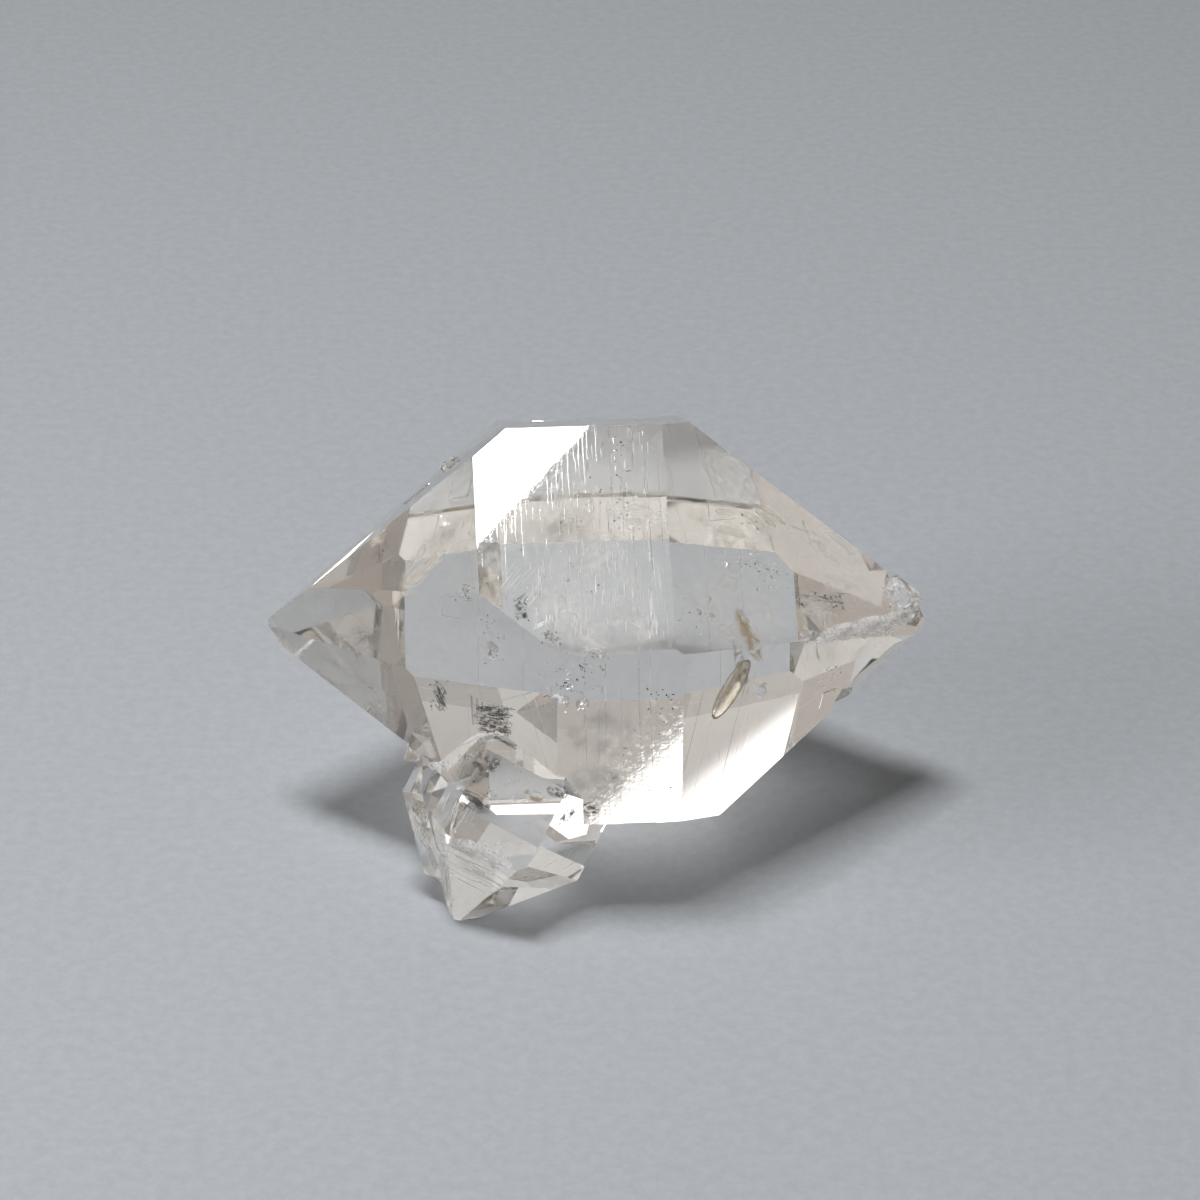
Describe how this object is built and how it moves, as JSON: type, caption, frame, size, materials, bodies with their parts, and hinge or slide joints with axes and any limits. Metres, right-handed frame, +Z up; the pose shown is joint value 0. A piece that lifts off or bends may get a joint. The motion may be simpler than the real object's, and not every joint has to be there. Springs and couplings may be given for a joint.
{
  "type": "herkimer diamond",
  "caption": "Clear doubly ended quartz crystal lying on a prism edge, with a smaller crystal grown into its lower side.",
  "frame": {"origin": "bottom centre of the bounding box, on the surface the crystal rests on", "axes": "+X along the long axis of the main crystal towards its chipped tip, -Y the front with the side crystal, +Z up"},
  "size_m": [0.0298, 0.0206, 0.0202],
  "materials": {
    "clear_quartz": "clear, colourless to faintly smoky, natural growth faces"
  },
  "bodies": {
    "root": {"herkimer_crystal": "clear_quartz"}
  },
  "joints": []
}
